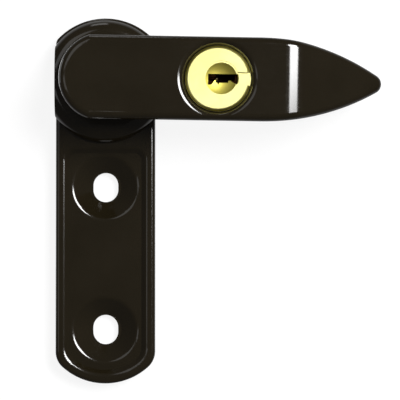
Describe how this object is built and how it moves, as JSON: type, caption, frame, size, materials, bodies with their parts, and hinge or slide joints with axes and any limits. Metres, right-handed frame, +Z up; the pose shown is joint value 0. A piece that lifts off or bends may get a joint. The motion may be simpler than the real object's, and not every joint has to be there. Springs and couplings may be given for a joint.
{
  "type": "locking sash stopper",
  "caption": "Window sash stopper: a cast base plate with slotted screw holes and a pointed swinging arm that locks by key through a brass pin lock.",
  "frame": {"origin": "on the back face, midway between the two screw holes", "axes": "+X to the right along the arm at rest, +Y into the window frame, +Z up the base"},
  "size_m": [0.0607, 0.019, 0.0684],
  "materials": {
    "brown_paint": "gloss dark brown powder coat over zinc die casting",
    "brass": "machined and polished lemon brass",
    "pin_brass": "turned brass",
    "zinc_plate": "bright zinc plated steel",
    "spring_steel": "bright spring wire and strip",
    "zinc_alloy": "as cast zinc alloy",
    "nylon": "black nylon"
  },
  "bodies": {
    "base": {"base_casting": "brown_paint", "thrust_washer": "nylon", "curved_washer": "spring_steel"},
    "arm": {"arm_casting": "brown_paint", "pivot_screw": "zinc_plate", "keyed_washer": "zinc_plate", "arm_cover": "zinc_plate", "cover_screws": "zinc_plate", "lock_barrel": "brass", "chamber_strip": "pin_brass", "pin_spring_1": "spring_steel", "pin_spring_2": "spring_steel", "pin_spring_3": "spring_steel", "pin_spring_4": "spring_steel"},
    "plug": {"plug": "brass", "plug_clip": "spring_steel", "drive_cam": "zinc_alloy"},
    "bolt": {"lock_bolt": "zinc_plate"},
    "key_pin_1": {"key_pin_1": "pin_brass"},
    "driver_pin_1": {"driver_pin_1": "pin_brass"},
    "key_pin_2": {"key_pin_2": "pin_brass"},
    "driver_pin_2": {"driver_pin_2": "pin_brass"},
    "key_pin_3": {"key_pin_3": "pin_brass"},
    "driver_pin_3": {"driver_pin_3": "pin_brass"},
    "key_pin_4": {"key_pin_4": "pin_brass"},
    "driver_pin_4": {"driver_pin_4": "pin_brass"}
  },
  "joints": [
    {"name": "arm_swing", "type": "hinge", "parent": "base", "child": "arm", "pos_m": [0, 0, 0.0331], "axis": [0, 1, 0], "continuous": true},
    {"name": "plug_turn", "type": "hinge", "parent": "arm", "child": "plug", "pos_m": [0.0216, 0, 0.03272], "axis": [0, 1, 0], "range_deg": [0, 90]},
    {"name": "bolt_slide", "type": "slide", "parent": "arm", "child": "bolt", "axis": [-0.9998, 0, 0.0175], "range_m": [0, 0.00212]},
    {"name": "key_pin_1_slide", "type": "slide", "parent": "plug", "child": "key_pin_1", "axis": [0.9998, 0, -0.0175], "range_m": [0, 0.0007]},
    {"name": "driver_pin_1_slide", "type": "slide", "parent": "arm", "child": "driver_pin_1", "axis": [-0.9998, 0, 0.0175], "range_m": [0, 0.0007], "stiffness_N_per_m": 60, "springref_m": -0.0006, "deforming": ["pin_spring_1"]},
    {"name": "key_pin_2_slide", "type": "slide", "parent": "plug", "child": "key_pin_2", "axis": [0.9998, 0, -0.0175], "range_m": [0, 0.0007]},
    {"name": "driver_pin_2_slide", "type": "slide", "parent": "arm", "child": "driver_pin_2", "axis": [-0.9998, 0, 0.0175], "range_m": [0, 0.0007], "stiffness_N_per_m": 60, "springref_m": -0.0006, "deforming": ["pin_spring_2"]},
    {"name": "key_pin_3_slide", "type": "slide", "parent": "plug", "child": "key_pin_3", "axis": [0.9998, 0, -0.0175], "range_m": [0, 0.0007]},
    {"name": "driver_pin_3_slide", "type": "slide", "parent": "arm", "child": "driver_pin_3", "axis": [-0.9998, 0, 0.0175], "range_m": [0, 0.0007], "stiffness_N_per_m": 60, "springref_m": -0.0006, "deforming": ["pin_spring_3"]},
    {"name": "key_pin_4_slide", "type": "slide", "parent": "plug", "child": "key_pin_4", "axis": [0.9998, 0, -0.0175], "range_m": [0, 0.0007]},
    {"name": "driver_pin_4_slide", "type": "slide", "parent": "arm", "child": "driver_pin_4", "axis": [-0.9998, 0, 0.0175], "range_m": [0, 0.0007], "stiffness_N_per_m": 60, "springref_m": -0.0006, "deforming": ["pin_spring_4"]}
  ],
  "couplings": [
    {"joint": "plug_turn", "follows": "bolt_slide", "rad_per_m": 740.48}
  ]
}
